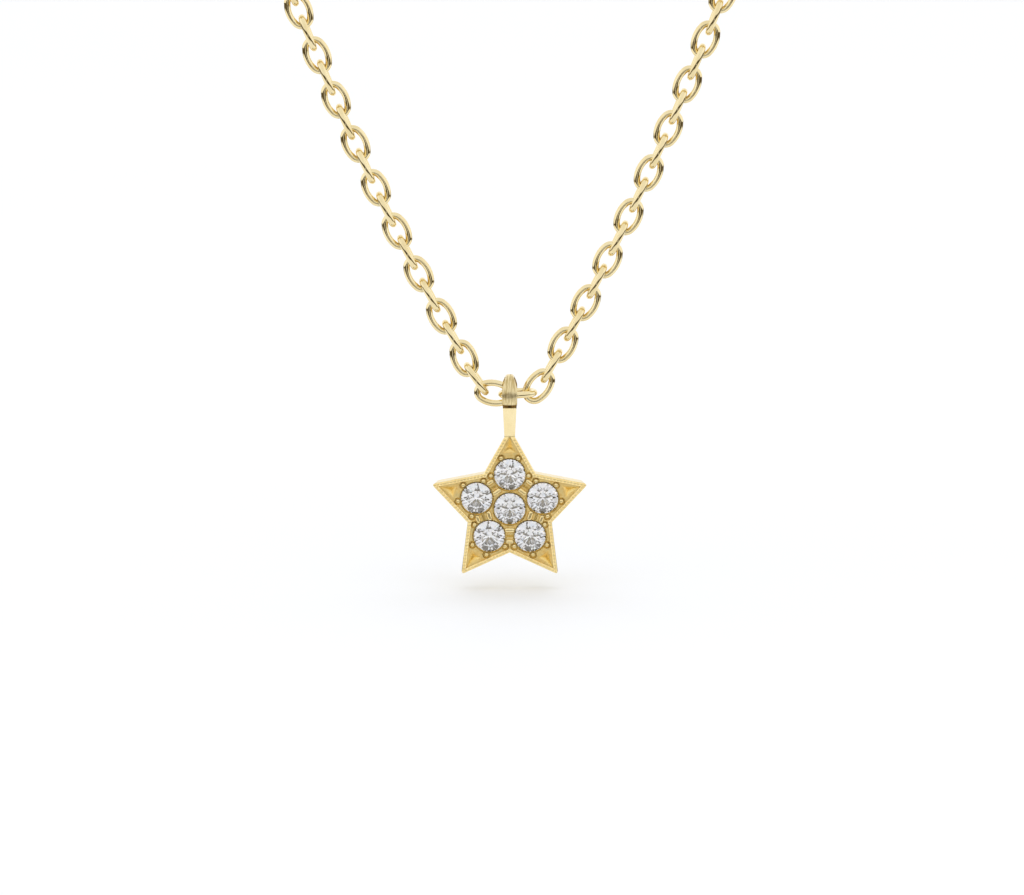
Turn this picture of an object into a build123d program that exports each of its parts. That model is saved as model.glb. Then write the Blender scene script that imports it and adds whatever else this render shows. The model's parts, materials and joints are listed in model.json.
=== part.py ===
"""Diamond necklace: a cable chain worn round the neck, with a star pendant that swings on it by its bail.

The frame has +Z up, +X to the wearer's left as seen from the front, and the front faces -Y.
The origin is the middle of the clasp, where the necklace lies on the nape. All lengths are in millimetres.
"""
import os
from math import atan, cos, degrees, pi, radians, sin, sqrt, tan

from build123d import *

# Sizes of the chain's oval links, and the radius of their round ends as a share of half the oval's width
link_length = 2.11
link_width = 1.46
link_wire = 0.36
link_gap = 0.10
link_end_share = 0.84

# Course of the chain beside the bail: each link's tilt from level, then the strand's slope and its gain
bail_link_tilt = -8.0
bail_link_shift = -0.855
bail_link_rise = -0.03
left_first_tilts = (55.0, 68.5)
right_first_tilts = (3.0, 54.5, 61.0)
strand_slope = 1.69
strand_slope_gain = 0.051
links_each_side = 22

# Where the pendant hangs, seen from the nape, and half the loop's width round the neck
hang_forward = 116.0
hang_drop = 113.0
neck_half_width = 53.8

# Hidden course of the chain on the wearer's left, from the front links to the clasp, seen from the middle of
# the bail: outward as a share of neck_half_width, back as one of hang_forward and up as one of hang_drop.
# The right side mirrors it.
neck_route = (
    (0.349, 0.010, 0.341),
    (0.472, 0.040, 0.460),
    (0.613, 0.095, 0.571),
    (0.758, 0.179, 0.673),
    (0.885, 0.288, 0.758),
    (0.970, 0.412, 0.827),
    (1.000, 0.545, 0.880),
    (0.955, 0.678, 0.922),
    (0.836, 0.798, 0.956),
    (0.647, 0.897, 0.981),
    (0.398, 0.964, 0.995),
)
bend_share = 0.45

# Clasp
clasp_length = 7.0
clasp_radius = 1.25
clasp_end_radius = 0.55
clasp_loop_radius = 0.75
clasp_loop_wire = 0.44
clasp_clearance = 0.15

# Bail: a ring seen edge-on from the front, domed outside. It is narrow at its top, widest a little below its
# middle and rounded in again at its foot.
bail_clearance = 0.09
bail_wall = 0.16
bail_dome = 0.10
bail_top_width = 0.26
bail_shoulder_width = 0.70
bail_shoulder_rise = 0.50
bail_belly_width = 0.80
bail_belly_drop = 0.30
bail_heel_width = 0.68
bail_heel_drop = 0.72
bail_foot_width = 0.36

# Neck strip between the bail and the star, as thick as the star
strip_length = 1.28
strip_top_width = 0.74
strip_low_width = 0.56
strip_overlap = 0.10

# Star: how far its tips and notches lie outside the ring of stones, its edges, the tip cut for the strip, and
# how far its walls lean in towards the back
tip_margin = 2.56
notch_margin = 0.52
tip_rounding = 0.12
top_tip_cut = 0.47
plate_thickness = 1.25
wall_lean = 0.11
plate_back_rounding = 0.08
rim_width = 0.20
rim_height = 0.07
rim_chamfer = 0.04
point_count = 5

# Stones and their seats
stone_diameter = 1.66
stone_gap = 0.19
stone_clearance = 0.03
stone_sink = 0.06
halo_width = 0.09
halo_depth = 0.20
culet_hole_radius = 0.40

# Cut of a stone, as shares of its diameter and as angles from the girdle
table_share = 0.57
crown_angle = 34.5
pavilion_angle = 40.75
star_facet_length = 0.50
lower_facet_length = 0.77
girdle_share = 0.035
main_facets = 8
stone_turn = 9.0

# Beads that hold the outer stones
bead_radius = 0.12
bead_offset = 0.18
bead_pit_radius = 0.21
bead_height = 0.07
outer_bead_angle = 27.0
side_bead_angle = 93.0

# Shared bars between the stones, on the line from the middle to each notch
bar_offset = 0.23
bar_length = 0.58
bar_width = 0.30
outer_bar_inset = 0.07
outer_bar_length = 0.46
outer_bar_width = 0.26
bar_groove_width = 0.14
bar_groove_depth = 0.22
bar_groove_length = 0.48

# Cut facets in the points
pit_offset = 0.35
pit_tip_inset = 0.47
pit_half_width = 0.35
pit_depth = 0.18
pit_floor_share = 0.92

# Values that follow from those above
half_oval = (link_width - link_wire) / 2
end_radius = link_end_share * half_oval
focus = (link_length - link_wire) / 2 - end_radius
side_radius = (focus**2 + half_oval**2 - end_radius**2) / (2 * (half_oval - end_radius))
side_angle = degrees(atan(focus / (side_radius - half_oval)))
reach = end_radius - link_wire - link_gap
edge_link_span = 2 * (focus + end_radius + reach)
link_pitch = focus + edge_link_span / 2
chain_radius = link_width / 2
clasp_loop_offset = clasp_length / 2 + clasp_loop_radius
clasp_reach = clasp_loop_offset + clasp_loop_radius + clasp_loop_wire / 2
bail_hole_radius = link_width / 2 + bail_clearance
bail_outer_radius = bail_hole_radius + bail_wall
stone_radius = stone_diameter / 2
stone_ring_radius = stone_diameter + stone_gap
tip_radius = stone_ring_radius + tip_margin
notch_radius = stone_ring_radius + notch_margin
top_tip_radius = tip_radius - top_tip_cut
star_drop = bail_outer_radius + strip_length + top_tip_radius
strip_tip_drop = bail_outer_radius + strip_length
strip_low_drop = strip_tip_drop + strip_overlap
middle = Vector(0, -hang_forward, -hang_drop)
front = Vector(0, -1, 0)
half_plate = plate_thickness / 2
strip_front = half_plate + rim_height - rim_chamfer
strip_back = half_plate - plate_back_rounding
strip_top_radius = (bail_hole_radius + bail_outer_radius) / 2
strip_front_drop = sqrt(strip_top_radius**2 - strip_front**2)
strip_back_drop = sqrt(strip_top_radius**2 - strip_back**2)
star_centre = middle + Vector(0, 0, -star_drop)
star_face = Plane(origin=star_centre + front * half_plate, x_dir=(1, 0, 0), z_dir=front)
star_back = star_face.offset(-plate_thickness)
rim_face = star_face.offset(rim_height)
half_girdle = girdle_share * stone_diameter / 2
crown_height = (1 - table_share) * stone_radius * tan(radians(crown_angle))
tip_angle = 90.0
notch_angle = tip_angle + 180 / point_count


def polar(radius, angle):
    """Point on a face at a radius and an angle in degrees."""
    return (radius * cos(radians(angle)), radius * sin(radians(angle)))


def star_points(tip, notch):
    """Corners of the star, tips and notches by turns, from the top tip round."""
    step = 180 / point_count
    radii = (tip, notch)
    return [polar(radii[i % 2], tip_angle + i * step) for i in range(2 * point_count)]


post_height = halo_depth + bead_height - bead_radius
bead_reach = stone_radius + bead_offset
bar_radius = stone_radius + halo_width + bar_offset
outer_bar_radius = stone_ring_radius - outer_bar_inset
bar_groove_radius = (bar_radius + outer_bar_radius) / 2
pit_base_radius = stone_ring_radius + stone_radius + pit_offset
pit_tip_radius = tip_radius - pit_tip_inset
point_angles = [tip_angle + i * 360 / point_count for i in range(point_count)]
stone_spots = [(0, 0)] + [polar(stone_ring_radius, angle) for angle in point_angles]
bead_spots = [
    tuple(a + b for a, b in zip(spot, polar(bead_reach, angle + side)))
    for spot, angle in zip(stone_spots[1:], point_angles)
    for side in (outer_bead_angle, -outer_bead_angle, side_bead_angle, -side_bead_angle)
]
pit_side = sqrt((pit_tip_radius - pit_base_radius) ** 2 + pit_half_width**2)
pit_inradius = (pit_tip_radius - pit_base_radius) * pit_half_width / (pit_side + pit_half_width)
pit_taper = degrees(atan(pit_inradius * pit_floor_share / pit_depth))


def facet_plane(*corners):
    """Plane through three corners of a facet, facing away from the stone's middle."""
    first, second, third = (Vector(*corner) for corner in corners)
    normal = (second - first).cross(third - first)
    if normal.dot(first) < 0:
        normal = normal * -1
    return Plane(origin=first, x_dir=second - first, z_dir=normal)


def at(radius, angle, height):
    """Point of a stone from its radius, its angle in degrees and its height over the girdle's middle."""
    return (*polar(radius, angle), height)


def facet_planes():
    """Planes of a round brilliant's crown and pavilion facets."""
    step = 360 / main_facets
    half = step / 2
    table_radius = table_share * stone_radius
    table_height = half_girdle + crown_height
    star_run = stone_radius - (stone_radius - table_radius) * (1 - star_facet_length)
    star_height = half_girdle + (stone_radius - star_run) * tan(radians(crown_angle))
    low_run = stone_radius * (1 - lower_facet_length)
    low_height = -half_girdle - (stone_radius - low_run) * tan(radians(pavilion_angle))
    culet_height = -half_girdle - stone_radius * tan(radians(pavilion_angle))
    planes = [Plane(origin=(0, 0, table_height), z_dir=(0, 0, 1))]
    for i in range(main_facets):
        main = i * step
        girdle_top = at(stone_radius, main, half_girdle)
        girdle_low = at(stone_radius, main, -half_girdle)
        table_corner = at(table_radius, main, table_height)
        next_corner = at(table_radius, main + step, table_height)
        star_end = at(star_run / cos(radians(half)), main + half, star_height)
        star_end_before = at(star_run / cos(radians(half)), main - half, star_height)
        low_end = at(low_run / cos(radians(half)), main + half, low_height)
        low_end_before = at(low_run / cos(radians(half)), main - half, low_height)
        planes.append(facet_plane(star_end_before, girdle_top, table_corner))
        planes.append(facet_plane(table_corner, next_corner, star_end))
        planes.append(facet_plane(girdle_top, at(stone_radius, main + half, half_girdle), star_end))
        planes.append(facet_plane(girdle_top, at(stone_radius, main - half, half_girdle), star_end_before))
        planes.append(facet_plane(low_end_before, girdle_low, (0, 0, culet_height)))
        planes.append(facet_plane(girdle_low, at(stone_radius, main + half, -half_girdle), low_end))
        planes.append(facet_plane(girdle_low, at(stone_radius, main - half, -half_girdle), low_end_before))
    return planes


def strand_tilts(first_tilts):
    """Tilt of each link of a strand in degrees, from the bail up."""
    later = range(len(first_tilts), links_each_side)
    slopes = [strand_slope + strand_slope_gain * i for i in later]
    return list(first_tilts) + [degrees(atan(slope)) for slope in slopes]


def strand(start, tilts, side):
    """Planes of a strand's links from the bail up, and where the strand ends. The first link is edge-on."""
    planes = []
    here = start
    for i, tilt in enumerate(tilts):
        along = Vector(side * cos(radians(tilt)), 0, sin(radians(tilt)))
        across = along.cross(front)
        edge_on = i % 2 == 0
        span = edge_link_span if edge_on else 2 * focus
        centre = here + along * (span / 2)
        planes.append(Plane(origin=centre, x_dir=along, z_dir=across if edge_on else front))
        here = here + along * span
    return planes, here, along


def tangent_radii(points):
    """Largest bend at each inner point of a route that both of its runs leave room for."""
    bends = []
    for before, here, after in zip(points, points[1:], points[2:]):
        turn = (here - before).get_angle(after - here)
        shorter = min((here - before).length, (after - here).length)
        bends.append(bend_share * shorter / tan(radians(turn / 2)))
    return bends


def route_points(strand_end, along, side):
    """Points of the hidden course on one side, from just past the front links to just short of the clasp."""
    first = strand_end + along * (link_width / 2 + link_gap)
    inner = [
        middle + Vector(side * out * neck_half_width, back * hang_forward, up * hang_drop)
        for out, back, up in neck_route
    ]
    last = Vector(side * (clasp_reach + clasp_clearance), 0, 0)
    return [first] + inner + [last]


def seat_profile():
    """Half section of a seat: distance from its axis, and depth behind the star's face."""
    grown = stone_radius + stone_clearance
    slope = tan(radians(pavilion_angle))
    girdle_low = -stone_sink - half_girdle - stone_clearance
    hole_depth = girdle_low - (grown - culet_hole_radius) * slope
    girdle_top = -stone_sink + half_girdle + stone_clearance
    table_top = girdle_top + crown_height
    table_radius = table_share * stone_radius + stone_clearance
    outline = (
        (0, table_top),
        (table_radius, table_top),
        (grown, girdle_top),
        (grown, girdle_low),
        (culet_hole_radius, hole_depth),
        (culet_hole_radius, -plate_thickness),
        (0, -plate_thickness),
    )
    return [(across, -height) for across, height in outline]


os.makedirs("parts", exist_ok=True)

# One link, lying in its own plane with its length along x
with BuildPart() as link:
    with BuildLine() as link_course:
        side_offset = side_radius - half_oval
        CenterArc((0, side_offset), side_radius, -90 - side_angle, 2 * side_angle)
        CenterArc((focus, 0), end_radius, side_angle - 90, 180 - 2 * side_angle)
        CenterArc((0, -side_offset), side_radius, 90 - side_angle, 2 * side_angle)
        CenterArc((-focus, 0), end_radius, side_angle + 90, 180 - 2 * side_angle)
    oval = link_course.wires()[0]
    with BuildSketch(Plane(origin=oval @ 0, z_dir=oval % 0)):
        Circle(link_wire / 2)
    sweep(path=oval)

# Front stretch: the link in the bail, then a strand up each side
level = radians(bail_link_tilt)
bail_link_along = Vector(cos(level), 0, sin(level))
bail_link_centre = middle + Vector(bail_link_shift, 0, bail_link_rise)
bail_link = Plane(origin=bail_link_centre, x_dir=bail_link_along, z_dir=front)
left_links, left_end, left_along = strand(
    bail_link_centre - bail_link_along * focus, strand_tilts(left_first_tilts), -1
)
right_links, right_end, right_along = strand(
    bail_link_centre + bail_link_along * focus, strand_tilts(right_first_tilts), 1
)
with BuildPart() as chain_front:
    with Locations(bail_link, *left_links, *right_links):
        add(link.part)
chain_front.part.label = "chain_front"
export_step(chain_front.part, "parts/chain_front.step")

# Clasp: a plain barrel with an end loop on each side for the chain's last links
with BuildPart() as clasp:
    with BuildSketch(Plane.XY):
        with BuildLine():
            half = clasp_length / 2
            Polyline((-half, 0), (-half, clasp_end_radius))
            ThreePointArc((-half, clasp_end_radius), (0, clasp_radius), (half, clasp_end_radius))
            Polyline((half, clasp_end_radius), (half, 0), (-half, 0))
        make_face()
    revolve(axis=Axis.X)
    for side in (-1, 1):
        loop_centre = (side * clasp_loop_offset, 0, 0)
        with BuildSketch(Plane(origin=loop_centre, x_dir=(0, 1, 0), z_dir=(1, 0, 0))):
            with Locations((clasp_loop_radius, 0)):
                Circle(clasp_loop_wire / 2)
        revolve(axis=Axis(loop_centre, (0, 0, 1)))
clasp.part.label = "clasp"
export_step(clasp.part, "parts/clasp.step")

# Hidden stretches of the chain, each one plain round length of the chain's own width
for name, strand_end, along, side in (
    ("chain_left", left_end, left_along, -1),
    ("chain_right", right_end, right_along, 1),
):
    points = route_points(strand_end, along, side)
    bends = tangent_radii(points)
    with BuildPart() as hidden_chain:
        with BuildLine() as route:
            FilletPolyline(*points, radius=bends)
        course = route.wires()[0]
        with BuildSketch(Plane(origin=course @ 0, z_dir=course % 0)):
            Circle(chain_radius)
        sweep(path=course)
    hidden_chain.part.label = name
    export_step(hidden_chain.part, f"parts/{name}.step")
    share = hidden_chain.part.volume / (pi * chain_radius**2 * course.length)
    print(name, "length", round(course.length, 2), "volume over section times length", round(share, 5))
    print(name, "bend radii", [round(bend, 1) for bend in bends])

# Bail, soldered to the neck strip
with BuildPart() as bail:
    with BuildSketch(Plane(origin=middle)):
        half = bail_belly_width / 2
        with BuildLine():
            edge_radius = bail_outer_radius - bail_dome
            Polyline((-half, edge_radius), (-half, 0), (half, 0), (half, edge_radius))
            ThreePointArc((half, edge_radius), (0, bail_outer_radius), (-half, edge_radius))
        make_face()
    revolve(axis=Axis(middle, (1, 0, 0)))
    with BuildSketch(Plane(origin=middle, x_dir=(1, 0, 0), z_dir=front)):
        with BuildLine():
            top, foot = bail_top_width / 2, bail_foot_width / 2
            shoulder, belly, heel = bail_shoulder_width / 2, bail_belly_width / 2, bail_heel_width / 2
            Line((-top, bail_outer_radius), (top, bail_outer_radius))
            for side in (-1, 1):
                ThreePointArc(
                    (side * top, bail_outer_radius),
                    (side * shoulder, bail_shoulder_rise),
                    (side * belly, -bail_belly_drop),
                )
                ThreePointArc(
                    (side * belly, -bail_belly_drop),
                    (side * heel, -bail_heel_drop),
                    (side * foot, -bail_outer_radius),
                )
            Line((-foot, -bail_outer_radius), (foot, -bail_outer_radius))
        make_face()
    extrude(amount=bail_outer_radius, both=True, mode=Mode.INTERSECT)
    with Locations(Location(middle, (0, 90, 0))):
        Cylinder(bail_hole_radius, 2 * bail_belly_width, mode=Mode.SUBTRACT)

# Neck strip: its outline from the front, cut to its side view, whose top follows the ring inside its wall
with BuildPart() as strip:
    with BuildSketch(Plane(origin=middle, x_dir=(1, 0, 0), z_dir=front)):
        with BuildLine():
            top, low = strip_top_width / 2, strip_low_width / 2
            Polyline(
                (-top, -strip_front_drop),
                (-low, -strip_low_drop),
                (low, -strip_low_drop),
                (top, -strip_front_drop),
                close=True,
            )
        make_face()
    extrude(amount=plate_thickness, both=True)
    with BuildSketch(Plane(origin=middle, x_dir=(0, 1, 0), z_dir=(1, 0, 0))):
        with BuildLine():
            Polyline(
                (-strip_front, -strip_front_drop),
                (-strip_front, -strip_low_drop),
                (strip_back, -strip_low_drop),
                (strip_back, -strip_back_drop),
            )
            ThreePointArc(
                (strip_back, -strip_back_drop),
                (0, -strip_top_radius),
                (-strip_front, -strip_front_drop),
            )
        make_face()
    extrude(amount=strip_top_width, both=True, mode=Mode.INTERSECT)

# Star setting: plate, rim, neck strip and bail, with seats, bars, beads and cut facets
with BuildPart() as star_setting:
    with BuildSketch(star_back):
        Polygon(*star_points(tip_radius, notch_radius), align=None)
        offset(amount=-wall_lean, kind=Kind.INTERSECTION)
    with BuildSketch(rim_face):
        Polygon(*star_points(tip_radius, notch_radius), align=None)
    loft(ruled=True)
    corners = star_setting.edges().filter_by(lambda e: abs((e.center() - star_centre).Y) < half_plate / 2)
    fillet(corners.sort_by(lambda e: (e.center() - star_centre).length)[-point_count:], tip_rounding)
    with BuildSketch(star_back):
        with Locations((0, top_tip_radius)):
            Rectangle(tip_radius, tip_radius, align=(Align.CENTER, Align.MIN))
    extrude(amount=plate_thickness + rim_height, mode=Mode.SUBTRACT)
    chamfer(star_setting.faces().sort_by(Axis.Y)[0].edges(), rim_chamfer)
    fillet(star_setting.faces().sort_by(Axis.Y)[-1].edges(), plate_back_rounding)
    with BuildSketch(star_face):
        Polygon(*star_points(tip_radius, notch_radius), align=None)
        offset(amount=-rim_width, kind=Kind.INTERSECTION)
    extrude(amount=rim_height, mode=Mode.SUBTRACT)

    # Domed bars between the stones and the grooves that part them
    for radius, length, width in (
        (bar_radius, bar_length, bar_width),
        (outer_bar_radius, outer_bar_length, outer_bar_width),
    ):
        run = length - width
        with Locations(star_face):
            with PolarLocations(radius, point_count, start_angle=notch_angle):
                Cylinder(width / 2, run, rotation=(90, 0, 0))
                with Locations((0, -run / 2, 0), (0, run / 2, 0)):
                    Sphere(width / 2)
    with BuildSketch(star_face):
        with PolarLocations(bar_groove_radius, point_count, start_angle=notch_angle):
            Rectangle(bar_groove_width, bar_groove_length)
    extrude(amount=-bar_groove_depth, mode=Mode.SUBTRACT)

    # Sunken halo round each stone and a drilled pit round each bead, which also cut the bars and the rim
    relief_height = max(bar_width, outer_bar_width, rim_height)
    with BuildSketch(star_face.offset(relief_height)):
        with Locations(*stone_spots):
            Circle(stone_radius + halo_width)
        with Locations(*bead_spots):
            Circle(bead_pit_radius)
    extrude(amount=-halo_depth - relief_height, mode=Mode.SUBTRACT)

    # Beads, each a post with a round top
    with Locations(star_face.offset(-halo_depth)):
        with Locations(*bead_spots):
            Cylinder(bead_radius, post_height, align=(Align.CENTER, Align.CENTER, Align.MIN))
    with Locations(star_face.offset(post_height - halo_depth)):
        with Locations(*bead_spots):
            Sphere(bead_radius)

    # Three cut facets in each point
    with BuildSketch(star_face):
        with PolarLocations(0, point_count, start_angle=tip_angle):
            Polygon(
                (pit_tip_radius, 0),
                (pit_base_radius, pit_half_width),
                (pit_base_radius, -pit_half_width),
                align=None,
            )
    extrude(amount=-pit_depth, taper=pit_taper, mode=Mode.SUBTRACT)

    # Neck strip and bail
    add(strip.part)
    add(bail.part)

    # Seats, open at the back, that clear each stone all over
    for spot in stone_spots:
        seat_centre = star_face.from_local_coords(Vector(*spot, 0))
        with BuildSketch(Plane(origin=seat_centre, x_dir=(1, 0, 0), z_dir=(0, 0, 1))):
            with BuildLine():
                Polyline(*seat_profile(), close=True)
            make_face()
        revolve(axis=Axis(seat_centre, front), mode=Mode.SUBTRACT)
star_setting.part.label = "star_setting"
export_step(star_setting.part, "parts/star_setting.step")

# One round brilliant, with its table up and its girdle's middle at the origin
with BuildPart() as brilliant:
    Cylinder(stone_radius, 2 * stone_diameter)
    for plane in facet_planes():
        split(bisect_by=plane, keep=Keep.BOTTOM)

# The stones, each turned a little in its seat
girdle_face = star_face.offset(-stone_sink)
for i, spot in enumerate(stone_spots):
    with BuildPart() as stone:
        with Locations(girdle_face):
            with Locations(Location((*spot, 0), (0, 0, i * stone_turn))):
                add(brilliant.part)
    stone.part.label = "centre_stone" if i == 0 else f"point_stone_{i}"
    export_step(stone.part, f"parts/{stone.part.label}.step")
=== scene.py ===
"""Diamond necklace: the finish of its surfaces and the shade and light painted into some of them, the beads
on the star's rim and the hidden chain's links.

All lengths are in metres in the part's own frame: +Z up, the front faces -Y, and the origin is at the clasp.
"""

import json
import math

import bmesh
import bpy
from mathutils import Matrix, Vector


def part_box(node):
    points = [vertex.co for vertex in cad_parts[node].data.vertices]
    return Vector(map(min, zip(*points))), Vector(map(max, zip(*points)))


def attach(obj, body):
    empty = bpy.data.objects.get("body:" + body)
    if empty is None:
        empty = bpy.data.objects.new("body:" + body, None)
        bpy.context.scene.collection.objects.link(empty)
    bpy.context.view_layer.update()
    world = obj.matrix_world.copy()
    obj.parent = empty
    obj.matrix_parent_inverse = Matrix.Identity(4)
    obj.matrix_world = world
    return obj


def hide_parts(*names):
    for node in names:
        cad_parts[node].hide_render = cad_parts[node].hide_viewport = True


MM = 0.001

# Frame
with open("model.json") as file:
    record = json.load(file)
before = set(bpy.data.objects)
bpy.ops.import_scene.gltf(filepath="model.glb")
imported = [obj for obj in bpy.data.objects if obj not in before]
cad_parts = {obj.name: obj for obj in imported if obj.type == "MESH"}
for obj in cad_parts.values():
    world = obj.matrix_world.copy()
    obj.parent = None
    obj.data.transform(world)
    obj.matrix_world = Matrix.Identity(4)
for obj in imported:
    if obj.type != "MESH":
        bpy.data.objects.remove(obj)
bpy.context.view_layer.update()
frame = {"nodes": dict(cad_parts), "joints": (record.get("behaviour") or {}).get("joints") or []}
nodes = frame["nodes"]
hinge = Vector(frame["joints"][0]["pos_m"])
front = Vector((0, -1, 0))

# Links of the chain, as in the solids
link_length = 2.11 * MM
link_width = 1.46 * MM
link_wire = 0.36 * MM
link_gap = 0.10 * MM
link_end_share = 0.84
link_sides = 12
end_arc_steps = 6
side_arc_steps = 3

# Course of the front links beside the bail, as in the solids
bail_link_tilt = -8.0
bail_link_shift = -0.855 * MM
bail_link_rise = -0.03 * MM
left_first_tilts = (55.0, 68.5)
right_first_tilts = (3.0, 54.5, 61.0)
strand_slope = 1.69
strand_slope_gain = 0.051
links_each_side = 22

# Hidden course of the chain on the wearer's left, from the middle of the bail: outward as a share of the
# loop's half width, back and up as shares of the way from the bail to the nape
neck_half_width = 53.8 * MM
neck_route = (
    (0.349, 0.010, 0.341),
    (0.472, 0.040, 0.460),
    (0.613, 0.095, 0.571),
    (0.758, 0.179, 0.673),
    (0.885, 0.288, 0.758),
    (0.970, 0.412, 0.827),
    (1.000, 0.545, 0.880),
    (0.955, 0.678, 0.922),
    (0.836, 0.798, 0.956),
    (0.647, 0.897, 0.981),
    (0.398, 0.964, 0.995),
)
route_order = 3
route_steps = 40

# End loops of the clasp that the last links hold
clasp_loop_middle = 4.25 * MM
clasp_loop_radius = 0.75 * MM
clasp_loop_wire = 0.44 * MM

# Rim of the star and its beads, whose middles are behind the rim's front by a share of their radius
star_drop = 6.20 * MM
star_point_count = 5
tip_radius = 4.41 * MM
notch_radius = 2.37 * MM
top_tip_radius = 3.94 * MM
half_plate = 0.625 * MM
rim_height = 0.07 * MM
bead_inset = 0.095 * MM
bead_radius = 0.08 * MM
bead_pitch = 0.18 * MM
bead_sink = 0.25
bead_segments = 12
bead_rings = 8

# Heights of the setting's parts below the middle of the bail
bail_heel_drop = 0.40 * MM
strip_top_drop = 0.75 * MM
strip_low_drop = 2.26 * MM

# Camera and floor, from the photograph's scale at the bail
pixel = 0.0533 * MM
image_size = (1024, 895)
hinge_pixel = (509.7, 392.5)
camera_elevation = 11.0
camera_distance = 0.50
sensor_width = 36.0
nearest_seen = 0.01
floor_gap = 0.95 * MM
floor_radius = 2.5
floor_sides = 64

# Range of a noise's values that its tones and finishes are spread over
noise_low, noise_high = 0.3, 0.7

# Polished gold of the chain and the clasp: tones in soft patches, faint waves and a fine grain
tone_patch = 0.90 * MM
gold_tones = ((0.30, (0.86, 0.71, 0.39)), (0.52, (0.905, 0.765, 0.45)), (0.72, (0.925, 0.805, 0.50)))
polish_patch = 0.35 * MM
polish_range = (0.05, 0.12)
wave_size = 0.45 * MM
polish_wave_depth = 0.004 * MM
polish_grain_size = 0.04 * MM
polish_grain_depth = 0.0004 * MM

# Gold of the star's setting: painted shade by how closed in a place is, darkest in narrow hollows and none on
# open faces, half the width over which one zone turns into the next, and the depths of its waves and grain
hollow_reach = 0.20 * MM
hollow_samples = 8
hollow_shade_tones = ((0.08, (0.56, 0.46, 0.27)), (0.25, (0.96, 0.88, 0.66)), (0.44, (1.0, 1.0, 1.0)))
zone_edge = 0.03 * MM
cast_wave_depth = 0.005 * MM
cast_grain_size = 0.05 * MM
cast_grain_depth = 0.012 * MM
mottle_patch = 0.25 * MM
mottle_range = (0.75, 1.25)

# Relief of the star: tones by depth behind the rim's front, which paint in reflected light, gold lit by gold,
# deeper and oranger further in and a little lighter on the rim; roughness by the same depth; and how far a
# surface faces front where it begins to count as relief and where it does in full
relief_light_tones = (
    (0.02 * MM, (1.06, 1.02, 0.90)),
    (0.06 * MM, (1.08, 1.04, 0.86)),
    (0.10 * MM, (1.08, 1.03, 0.82)),
    (0.22 * MM, (1.04, 0.91, 0.56)),
)
relief_finish = ((0.02 * MM, 0.10), (0.06 * MM, 0.72), (0.09 * MM, 0.72), (0.13 * MM, 0.28))
facing_start, facing_end = 0.2, 0.5
speckle_size = 0.12 * MM
speckle_tones = ((0.40, (0.96, 0.94, 0.86)), (0.58, (1.0, 1.0, 1.0)))

# Neck strip and bail: roughness, brushed streaks, and the painted shade on the foot of the bail's heel, a
# dark band for the ring's shadowed, dark-reflecting underside, whose places are multiples of a zone's edge
# above the foot
strip_finish = 0.07
heel_finish = 0.09
bail_finish = 0.38
streak_size = 0.07 * MM
streak_stretch = (1, 0.1, 0.1)
streak_tones = ((0.38, (0.66, 0.60, 0.46)), (0.56, (1.0, 1.0, 1.0)))
heel_shade_tone = (0.24, 0.18, 0.10)
heel_dark_start, heel_dark_end, heel_dark_over = 1, 6, 8

# Stones
diamond_index = 2.42
# Painted fire: cool and violet tints in the stones' colour stand in for the coloured light of dispersion
fire_size = 0.24 * MM
painted_fire_tones = (
    (0.34, (0.80, 0.87, 1.0)),
    (0.44, (1.0, 1.0, 1.0)),
    (0.56, (1.0, 1.0, 1.0)),
    (0.63, (0.94, 0.88, 1.0)),
    (0.72, (0.86, 1.0, 0.95)),
)

# Floor
floor_patch = 60 * MM
floor_tones = ((0.3, (0.884, 0.896, 0.918)), (0.7, (0.894, 0.906, 0.928)))
floor_finish = 0.7
floor_specular = 0.1

# Surroundings that the metal reflects, by a direction's share up, to the side and to the back: a dark belt
# below the horizon, narrower towards the sides, a bright spot in it straight in front, the brighter back and
# sides, and a dark foot straight below
belt_middle = -0.195
belt_half = 0.30
belt_narrowing = 0.20
belt_edge = 0.05
belt_tone = (0.095, 0.075, 0.042)
spot_wide, spot_high = 0.10, 0.07
spot_edge = 0.014
back_start, back_end = 0.60, 0.85
side_start, side_end = 0.50, 0.90
foot_start, foot_end = -0.995, -0.985
front_tone, side_tone = 0.94, 1.08

# Lamp over the pendant, seen from the middle of the picture
lamp_power = 0.90
lamp_size = (0.85, 0.85)
lamp_place = (0, 0, 0.55)

# Arcs of a link's middle line, and the way from link to link
half_oval = (link_width - link_wire) / 2
end_radius = link_end_share * half_oval
focus = (link_length - link_wire) / 2 - end_radius
side_radius = (focus**2 + half_oval**2 - end_radius**2) / (2 * (half_oval - end_radius))
side_angle = math.degrees(math.atan(focus / (side_radius - half_oval)))
reach = end_radius - link_wire - link_gap
edge_link_span = 2 * (focus + end_radius + reach)
face_link_span = 2 * focus


# Materials

def new_material(name):
    """A material with its node tree and its Principled shader."""
    material = bpy.data.materials.new(name)
    material.use_nodes = True
    tree = material.node_tree
    shader = tree.nodes["Principled BSDF"]
    return material, tree, shader


def noise(tree, size, detail=3.0, stretch=(1, 1, 1)):
    """Noise whose features are about size metres, in the piece's own coordinates."""
    place = tree.nodes.new("ShaderNodeTexCoord")
    scale = tree.nodes.new("ShaderNodeMapping")
    scale.inputs["Scale"].default_value = [s / size for s in stretch]
    texture = tree.nodes.new("ShaderNodeTexNoise")
    texture.inputs["Scale"].default_value = 1.0
    texture.inputs["Detail"].default_value = detail
    tree.links.new(place.outputs["Object"], scale.inputs["Vector"])
    tree.links.new(scale.outputs["Vector"], texture.inputs["Vector"])
    return texture.outputs["Fac"]


def ramp(tree, value, stops):
    """Colours by value, from (position, colour) pairs."""
    node = tree.nodes.new("ShaderNodeValToRGB")
    elements = node.color_ramp.elements
    while len(elements) < len(stops):
        elements.new(0.5)
    for element, (position, colour) in zip(elements, stops):
        element.position = position
        element.color = (*colour, 1)
    tree.links.new(value, node.inputs["Fac"])
    return node.outputs["Color"]


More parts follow.
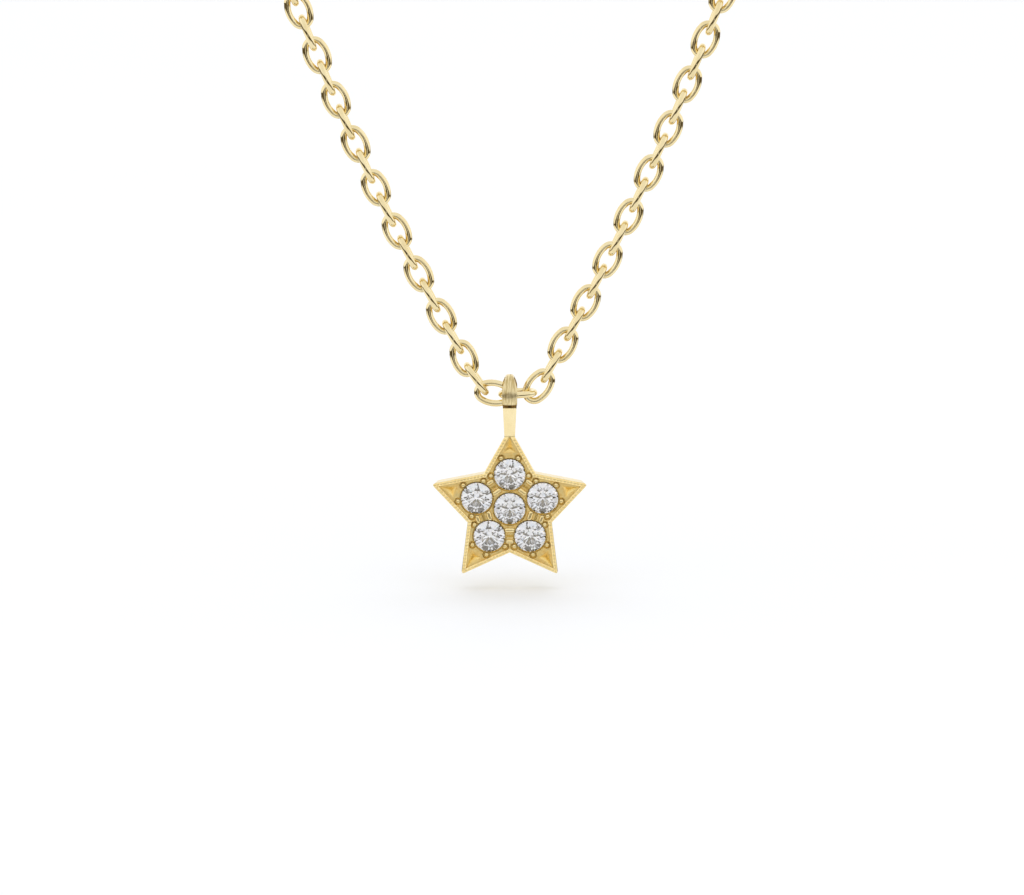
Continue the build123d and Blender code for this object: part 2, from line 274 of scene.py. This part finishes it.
def spread(tree, value, low, high):
    """A noise's value mapped to low and high."""
    node = tree.nodes.new("ShaderNodeMapRange")
    node.inputs["From Min"].default_value = noise_low
    node.inputs["From Max"].default_value = noise_high
    node.inputs["To Min"].default_value = low
    node.inputs["To Max"].default_value = high
    tree.links.new(value, node.inputs["Value"])
    return node.outputs["Result"]


def bump(tree, value, depth, under=None):
    """Normals of a relief of a real depth, over those of another if one is given."""
    node = tree.nodes.new("ShaderNodeBump")
    node.inputs["Strength"].default_value = 1.0
    node.inputs["Distance"].default_value = depth
    tree.links.new(value, node.inputs["Height"])
    if under is not None:
        tree.links.new(under, node.inputs["Normal"])
    return node.outputs["Normal"]


def hollows(tree, depth):
    """Share from 0 in narrow hollows to 1 on open faces, by which shade is painted."""
    node = tree.nodes.new("ShaderNodeAmbientOcclusion")
    node.samples = hollow_samples
    node.inputs["Distance"].default_value = depth
    return node.outputs["AO"]


def combine(tree, operation, first, second):
    """Result of a maths operation on a socket and a socket or number."""
    node = tree.nodes.new("ShaderNodeMath")
    node.operation = operation
    tree.links.new(first, node.inputs[0])
    if isinstance(second, float):
        node.inputs[1].default_value = second
    else:
        tree.links.new(second, node.inputs[1])
    return node.outputs["Value"]


def rise(tree, value, start, end):
    """Share that rises smoothly from 0 at start to 1 at end."""
    node = tree.nodes.new("ShaderNodeMapRange")
    node.interpolation_type = "SMOOTHSTEP"
    node.inputs["From Min"].default_value = start
    node.inputs["From Max"].default_value = end
    tree.links.new(value, node.inputs["Value"])
    return node.outputs["Result"]


def along_axis(tree, kind, axis):
    """One axis of the piece's own coordinates (Object) or normals (Normal)."""
    place = tree.nodes.new("ShaderNodeTexCoord")
    split = tree.nodes.new("ShaderNodeSeparateXYZ")
    tree.links.new(place.outputs[kind], split.inputs["Vector"])
    return split.outputs[axis]


def by_place(tree, axis, stops):
    """Colours by place along an axis in metres, from (place, colour) pairs in rising order."""
    low, high = stops[0][0], stops[-1][0]
    share = tree.nodes.new("ShaderNodeMapRange")
    share.inputs["From Min"].default_value = low
    share.inputs["From Max"].default_value = high
    tree.links.new(along_axis(tree, "Object", axis), share.inputs["Value"])
    stops = [((place - low) / (high - low), tone) for place, tone in stops]
    return ramp(tree, share.outputs["Result"], stops)


def multiply(tree, first, second, share=1.0):
    """First colour darkened by the second, by a share that is a number or a socket."""
    node = tree.nodes.new("ShaderNodeMix")
    node.data_type = "RGBA"
    node.blend_type = "MULTIPLY"
    tree.links.new(first, node.inputs["A"])
    tree.links.new(second, node.inputs["B"])
    if isinstance(share, float):
        node.inputs["Factor"].default_value = share
    else:
        tree.links.new(share, node.inputs["Factor"])
    return node.outputs["Result"]


def grained(tree, wave_depth, grain, grain_depth):
    """Normals of faint waves with a grain over them."""
    waves = bump(tree, noise(tree, wave_size, detail=1.0), wave_depth)
    return bump(tree, grain, grain_depth, under=waves)


def polished_gold(name):
    """Polished yellow gold with faint waves and a fine grain."""
    material, tree, shader = new_material(name)
    tree.links.new(ramp(tree, noise(tree, tone_patch), gold_tones), shader.inputs["Base Color"])
    shader.inputs["Metallic"].default_value = 1.0
    tree.links.new(spread(tree, noise(tree, polish_patch), *polish_range), shader.inputs["Roughness"])
    grain = noise(tree, polish_grain_size, detail=2.0)
    tree.links.new(grained(tree, polish_wave_depth, grain, polish_grain_depth), shader.inputs["Normal"])
    return material


def cast_gold(name):
    """Yellow gold: matt in the star's relief, with painted shade in its hollows and painted reflected light
    that makes its tone deeper further back in the relief; polished and painted a little lighter on its rim,
    beads and bars;
    polished on the neck strip and the bail's heel, and brushed on the rest of the bail. A painted dark band
    of shade runs along the heel's foot."""
    material, tree, shader = new_material(name)
    star_top = hinge.z - strip_low_drop
    heel = hinge.z - strip_top_drop
    belly = hinge.z - bail_heel_drop
    rim_front = hinge.y - half_plate - rim_height
    facing = combine(tree, "MULTIPLY", along_axis(tree, "Normal", "Y"), -1.0)
    in_star = rise(tree, along_axis(tree, "Object", "Z"), star_top + zone_edge, star_top - zone_edge)
    in_relief = combine(tree, "MULTIPLY", in_star, rise(tree, facing, facing_start, facing_end))
    in_bail = rise(tree, along_axis(tree, "Object", "Z"), heel - zone_edge, heel + zone_edge)

    depths = [(rim_front + depth, tone) for depth, tone in relief_light_tones]
    streaks = ramp(tree, noise(tree, streak_size, stretch=streak_stretch), streak_tones)
    plain = (1.0, 1.0, 1.0)
    # Painted shade: a dark band on the foot of the bail's heel, where the ring turns under
    shaded = (
        (heel, plain),
        (heel + heel_dark_start * zone_edge, heel_shade_tone),
        (heel + heel_dark_end * zone_edge, heel_shade_tone),
        (heel + heel_dark_over * zone_edge, plain),
    )
    tone = ramp(tree, noise(tree, tone_patch), gold_tones)
    # Painted shade: darker gold in hollows and narrow gaps, by how closed in each place is
    tone = multiply(tree, tone, ramp(tree, hollows(tree, hollow_reach), hollow_shade_tones))
    # Painted reflected light: tone by depth in the relief, deeper and oranger in the recesses, lighter on the
    # rim
    tone = multiply(tree, tone, by_place(tree, "Y", depths), in_relief)
    tone = multiply(tree, tone, ramp(tree, noise(tree, speckle_size), speckle_tones), in_star)
    tone = multiply(tree, tone, streaks, in_bail)
    tone = multiply(tree, tone, by_place(tree, "Z", shaded))
    tree.links.new(tone, shader.inputs["Base Color"])
    shader.inputs["Metallic"].default_value = 1.0

    heights = (
        (star_top, strip_finish),
        (heel - zone_edge, strip_finish),
        (heel + zone_edge, heel_finish),
        (belly - zone_edge, heel_finish),
        (belly + zone_edge, bail_finish),
    )
    depths = [(rim_front + depth, value) for depth, value in relief_finish]
    finish = tree.nodes.new("ShaderNodeMapRange")
    tree.links.new(in_star, finish.inputs["Value"])
    for axis, stops, end in (("Z", heights, "To Min"), ("Y", depths, "To Max")):
        greys = [(place, (value, value, value)) for place, value in stops]
        tree.links.new(by_place(tree, axis, greys), finish.inputs[end])
    finish = finish.outputs["Result"]
    mottle = spread(tree, noise(tree, mottle_patch), *mottle_range)
    tree.links.new(combine(tree, "MULTIPLY", finish, mottle), shader.inputs["Roughness"])
    grain = combine(tree, "MULTIPLY", noise(tree, cast_grain_size), finish)
    tree.links.new(grained(tree, cast_wave_depth, grain, cast_grain_depth), shader.inputs["Normal"])
    return material


def diamond(name):
    """Clear stone of a diamond's index, with faint cool and violet tints painted in for the fire of
    dispersion.
    """
    material, tree, shader = new_material(name)
    # Painted fire: tints in the stone's colour
    fire = ramp(tree, noise(tree, fire_size, detail=1.0), painted_fire_tones)
    tree.links.new(fire, shader.inputs["Base Color"])
    shader.inputs["Roughness"].default_value = 0.0
    shader.inputs["IOR"].default_value = diamond_index
    shader.inputs["Transmission Weight"].default_value = 1.0
    return material


def floor_white(name):
    """Matt white studio floor with the faintest mottle."""
    material, tree, shader = new_material(name)
    tree.links.new(ramp(tree, noise(tree, floor_patch), floor_tones), shader.inputs["Base Color"])
    shader.inputs["Roughness"].default_value = floor_finish
    shader.inputs["Specular IOR Level"].default_value = floor_specular
    return material


# Meshes

def new_piece(name, mesh_code, material, body):
    """A shown piece that rides on a body, from a function that fills a bmesh."""
    bm = bmesh.new()
    mesh_code(bm)
    mesh = bpy.data.meshes.new(name)
    bm.to_mesh(mesh)
    bm.free()
    for polygon in mesh.polygons:
        polygon.use_smooth = True
    mesh.materials.append(material)
    piece = bpy.data.objects.new(name, mesh)
    bpy.context.scene.collection.objects.link(piece)
    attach(piece, body)
    return piece


def link_course():
    """Points of a link's middle line with their outward directions, in the link's own plane, arc by arc."""
    side_offset = side_radius - half_oval
    course = []
    for end, turned in ((1, 0), (-1, 180)):
        for middle, radius, half_arc, towards, steps in (
            ((end * focus, 0, 0), end_radius, 90 - side_angle, turned, end_arc_steps),
            ((0, -end * side_offset, 0), side_radius, side_angle, turned + 90, side_arc_steps),
        ):
            for step in range(steps):
                turn = math.radians(towards + half_arc * (2 * step / steps - 1))
                outward = Vector((math.cos(turn), math.sin(turn), 0))
                course.append((Vector(middle) + outward * radius, outward))
    return course


def add_link(bm, centre, along, normal):
    """One link of round wire with its length along one direction and its flat side facing normal."""
    across = normal.cross(along)
    turn = Matrix((along, across, normal)).transposed()
    rings = []
    for point, outward in link_course():
        ring = []
        for side in range(link_sides):
            angle = 2 * math.pi * side / link_sides
            offset = outward * math.cos(angle) + Vector((0, 0, math.sin(angle)))
            ring.append(bm.verts.new(centre + turn @ (point + offset * (link_wire / 2))))
        rings.append(ring)
    for ring, after in zip(rings, rings[1:] + rings[:1]):
        for side in range(link_sides):
            following = (side + 1) % link_sides
            bm.faces.new((ring[side], after[side], after[following], ring[following]))


def strand_end(start, first_tilts, side):
    """Where a front strand ends, from its first links' tilts and the strand's slope."""
    tilts = list(first_tilts)
    for i in range(len(first_tilts), links_each_side):
        tilts.append(math.degrees(math.atan(strand_slope + strand_slope_gain * i)))
    here = start
    for i, tilt in enumerate(tilts):
        along = Vector((side * math.cos(math.radians(tilt)), 0, math.sin(math.radians(tilt))))
        here = here + along * (edge_link_span if i % 2 == 0 else face_link_span)
    return here


def smooth_route(points):
    """Points along the smooth course that the given points lead."""
    curve = bpy.data.curves.new("route", "CURVE")
    curve.dimensions = "3D"
    spline = curve.splines.new("NURBS")
    spline.points.add(len(points) - 1)
    for spot, point in zip(spline.points, points):
        spot.co = (*point, 1)
    spline.order_u = route_order
    spline.use_endpoint_u = True
    spline.resolution_u = route_steps
    carrier = bpy.data.objects.new("route", curve)
    mesh = bpy.data.meshes.new_from_object(carrier)
    found = [v.co.copy() for v in mesh.vertices]
    bpy.data.objects.remove(carrier)
    bpy.data.curves.remove(curve)
    bpy.data.meshes.remove(mesh)
    return found


def along_route(points, lengths, distance):
    """Point at a distance along a route whose running lengths are known."""
    i = 0
    while i < len(lengths) - 2 and lengths[i + 1] < distance:
        i += 1
    share = (distance - lengths[i]) / (lengths[i + 1] - lengths[i])
    return points[i].lerp(points[i + 1], share)


def hidden_links(start, side):
    """Middles, directions and facings of the links from the last front link to the clasp."""
    hold = clasp_loop_middle + clasp_loop_radius - clasp_loop_wire / 2 - link_wire / 2 - link_gap / 2
    last_focus = hold + focus + end_radius - edge_link_span / 2
    controls = [start]
    for out, back, up in neck_route:
        controls.append(hinge + Vector((side * out * neck_half_width, -back * hinge.y, -up * hinge.z)))
    controls.append(Vector((side * last_focus, 0, 0)))
    points = smooth_route(controls)
    if (points[0] - start).length > (points[-1] - start).length:
        points.reverse()
    lengths = [0.0]
    for before, here in zip(points, points[1:]):
        lengths.append(lengths[-1] + (here - before).length)
    pairs = round((lengths[-1] - edge_link_span) / (edge_link_span + face_link_span))
    slack = (lengths[-1] - pairs * (edge_link_span + face_link_span) - edge_link_span) / (pairs + 1)
    spans = [face_link_span if i % 2 else edge_link_span + slack for i in range(2 * pairs + 1)]
    links = []
    facing = front
    here = 0.0
    for span in spans:
        first = along_route(points, lengths, here)
        here += span
        second = along_route(points, lengths, min(here, lengths[-1]))
        direction = (second - first).normalized()
        facing = (facing - direction * facing.dot(direction)).normalized()
        links.append(((first + second) / 2, direction, facing))
    return links


def hidden_chain(name, start, side, material):
    """A hidden stretch of the chain as real links, which stands for the solid of the same name. The links
    turn little by little, so that the last one lies right in the clasp's loop."""
    links = hidden_links(start, side)
    _, final_direction, final_facing = links[-1]
    wanted = Vector((0, 0, 1))
    wanted = (wanted - final_direction * wanted.dot(final_direction)).normalized()
    if wanted.dot(final_facing) < 0:
        wanted = -wanted
    twist = math.atan2(final_facing.cross(wanted).dot(final_direction), final_facing.dot(wanted))

    def fill(bm):
        for i, (centre, direction, facing) in enumerate(links):
            share = i / (len(links) - 1)
            facing = Matrix.Rotation(twist * share, 3, direction) @ facing
            normal = facing if i % 2 else direction.cross(facing)
            add_link(bm, centre, direction, normal)

    piece = new_piece(name + "_links", fill, material, "chain")
    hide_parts(name)


def star_corners(tip, notch):
    """Corners of the star in its own face, tips and notches by turns, from the top tip round."""
    corners = []
    for i in range(2 * star_point_count):
        angle = math.radians(90 + 180 / star_point_count * i)
        radius = notch if i % 2 else tip
        corners.append(Vector((radius * math.cos(angle), radius * math.sin(angle))))
    return corners


def inset_corners(corners, inset):
    """Corners of the same outline moved inward by a distance."""
    moved = []
    for before, here, after in zip(corners[-1:] + corners[:-1], corners, corners[1:] + corners[:1]):
        first = (here - before).normalized()
        second = (after - here).normalized()
        first_in = Vector((-first.y, first.x))
        second_in = Vector((-second.y, second.x))
        middle = (first_in + second_in).normalized()
        moved.append(here + middle * (inset / middle.dot(first_in)))
    return moved


def rim_beads(bm):
    """Small round beads along the star's rim."""
    centre = hinge + Vector((0, -half_plate - rim_height, -star_drop))
    line = inset_corners(star_corners(tip_radius, notch_radius), bead_inset)
    template = bmesh.new()
    bmesh.ops.create_uvsphere(template, u_segments=bead_segments, v_segments=bead_rings, radius=bead_radius)
    shape = bpy.data.meshes.new("bead")
    template.to_mesh(shape)
    template.free()
    for start, end in zip(line, line[1:] + line[:1]):
        count = max(1, round((end - start).length / bead_pitch))
        for i in range(count):
            spot = start.lerp(end, i / count)
            if spot.y > top_tip_radius - bead_radius:
                continue
            first = len(bm.verts)
            bm.from_mesh(shape)
            bm.verts.ensure_lookup_table()
            offset = centre + Vector((spot.x, bead_sink * bead_radius, spot.y))
            bmesh.ops.translate(bm, verts=bm.verts[first:], vec=offset)
    bpy.data.meshes.remove(shape)


def dress(node, material):
    """Gives a CAD node a material."""
    nodes[node].data.materials.clear()
    nodes[node].data.materials.append(material)


# Light

def area_light(name, place, size, power, aim):
    """A soft rectangular light that neither the camera nor a reflection shows."""
    light = bpy.data.lights.new(name, "AREA")
    light.shape = "RECTANGLE"
    light.size, light.size_y = size
    light.energy = power
    lamp = bpy.data.objects.new(name, light)
    lamp.location = place
    lamp.rotation_mode = "QUATERNION"
    lamp.rotation_quaternion = (Vector(aim) - Vector(place)).to_track_quat("-Z", "Y")
    lamp.visible_camera = False
    lamp.visible_glossy = False
    bpy.context.scene.collection.objects.link(lamp)


def studio_world():
    """Pale surroundings, brighter at the sides and behind. A dark warm belt runs round just below the
    horizon, with a bright spot in it in front and an opening behind. Straight below is a small dark patch."""
    world = bpy.data.worlds.new("studio")
    bpy.context.scene.world = world
    world.use_nodes = True
    tree = world.node_tree
    place = tree.nodes.new("ShaderNodeTexCoord")
    split = tree.nodes.new("ShaderNodeSeparateXYZ")
    tree.links.new(place.outputs["Generated"], split.inputs["Vector"])
    aside, behind, up = split.outputs

    width = combine(tree, "ABSOLUTE", aside, 0.0)
    off_middle = combine(tree, "ABSOLUTE", combine(tree, "SUBTRACT", up, belt_middle), 0.0)
    off_belt = combine(tree, "ADD", off_middle, combine(tree, "MULTIPLY", width, belt_narrowing))
    back = rise(tree, behind, back_start, back_end)
    white = rise(tree, off_belt, belt_half - belt_edge, belt_half + belt_edge)
    off_spot = combine(tree, "MAXIMUM", off_middle, combine(tree, "MULTIPLY", width, spot_high / spot_wide))
    spot = rise(tree, off_spot, spot_high + spot_edge, spot_high - spot_edge)
    white = combine(tree, "MAXIMUM", combine(tree, "MAXIMUM", white, spot), back)
    white = combine(tree, "MINIMUM", white, rise(tree, up, foot_start, foot_end))
    bright = combine(tree, "MAXIMUM", back, rise(tree, width, side_start, side_end))
    bright = combine(tree, "MAXIMUM", bright, spot)

    sight = tree.nodes.new("ShaderNodeLightPath")
    seen = sight.outputs["Is Camera Ray"]
    tones = tree.nodes.new("ShaderNodeMapRange")
    tones.inputs["To Min"].default_value = front_tone
    tones.inputs["To Max"].default_value = side_tone
    tree.links.new(bright, tones.inputs["Value"])
    strength = tree.nodes.new("ShaderNodeMapRange")
    strength.inputs["To Max"].default_value = 1.0
    tree.links.new(seen, strength.inputs["Value"])
    tree.links.new(tones.outputs["Result"], strength.inputs["To Min"])
    shades = ramp(tree, combine(tree, "MAXIMUM", white, seen), ((0.0, belt_tone), (1.0, (1.0, 1.0, 1.0))))
    background = tree.nodes["Background"]
    tree.links.new(shades, background.inputs["Color"])
    tree.links.new(strength.outputs["Result"], background.inputs["Strength"])


def studio_camera():
    """Long lens a little above the pendant, framed as in the photograph. Gives the point that it looks at."""
    tilt = math.radians(camera_elevation)
    back = Vector((0, -math.cos(tilt), math.sin(tilt)))
    right = (image_size[0] / 2 - hinge_pixel[0]) * pixel
    down = (image_size[1] / 2 - hinge_pixel[1]) * pixel / math.cos(tilt)
    target = hinge + Vector((right, 0, -down))
    camera = bpy.data.objects.new("camera", bpy.data.cameras.new("camera"))
    bpy.context.scene.collection.objects.link(camera)
    camera.data.sensor_width = sensor_width
    camera.data.lens = sensor_width * camera_distance / (image_size[0] * pixel)
    camera.data.clip_start = nearest_seen
    camera.location = target + back * camera_distance
    camera.rotation_mode = "QUATERNION"
    camera.rotation_quaternion = (-back).to_track_quat("-Z", "Y")
    bpy.context.scene.camera = camera
    return target


def studio_floor():
    """Plain pale floor just under the star's lowest points."""
    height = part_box("star_setting")[0].z - floor_gap
    bm = bmesh.new()
    bmesh.ops.create_circle(bm, cap_ends=True, segments=floor_sides, radius=floor_radius)
    mesh = bpy.data.meshes.new("floor")
    bm.to_mesh(mesh)
    bm.free()
    mesh.materials.append(floor_white("floor_white"))
    floor = bpy.data.objects.new("floor", mesh)
    floor.location = (hinge.x, hinge.y, height)
    floor.visible_glossy = False
    floor.visible_transmission = False
    floor.visible_shadow = False
    bpy.context.scene.collection.objects.link(floor)


# Making

target = studio_camera()
studio_floor()
studio_world()
bpy.context.scene.view_settings.view_transform = "Standard"
area_light("overhead_light", target + Vector(lamp_place), lamp_size, lamp_power, target)

polished = polished_gold("polished_gold")
cast = cast_gold("cast_gold")
clear = diamond("diamond")
for name in nodes:
    dress(name, clear if "stone" in name else polished)
dress("star_setting", cast)

level = math.radians(bail_link_tilt)
bail_link_along = Vector((math.cos(level), 0, math.sin(level)))
bail_link_centre = hinge + Vector((bail_link_shift, 0, bail_link_rise))
for name, tilts, side in (("chain_left", left_first_tilts, -1), ("chain_right", right_first_tilts, 1)):
    start = bail_link_centre + bail_link_along * (side * focus)
    hidden_chain(name, strand_end(start, tilts, side), side, polished)
new_piece("rim_beads", rim_beads, cast, "pendant")
